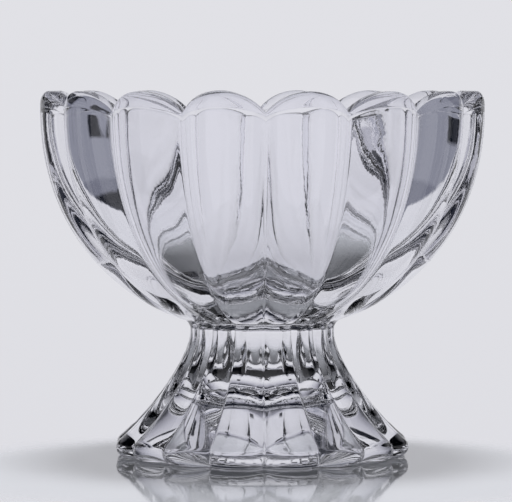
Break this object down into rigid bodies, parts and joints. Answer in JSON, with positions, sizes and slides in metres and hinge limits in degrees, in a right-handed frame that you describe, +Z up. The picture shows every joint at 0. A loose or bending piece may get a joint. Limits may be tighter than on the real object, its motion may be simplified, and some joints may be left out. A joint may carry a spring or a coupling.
{
  "type": "footed dessert bowl",
  "caption": "Clear pressed-glass dessert bowl with a scalloped petal rim, fused at the neck to a flared, fluted, hollow foot that stands on a flat ring.",
  "frame": {"origin": "centre of the standing ring, on the surface that the bowl stands on", "axes": "+Z up along the bowl's axis; a groove between two petals faces -Y, and another faces +X"},
  "size_m": [0.1086, 0.1086, 0.09],
  "materials": {
    "clear_glass": "clear soda-lime glass, pressed and fire polished, smooth and glossy with slight waves"
  },
  "bodies": {
    "root": {"bowl": "clear_glass", "foot": "clear_glass"}
  },
  "joints": []
}
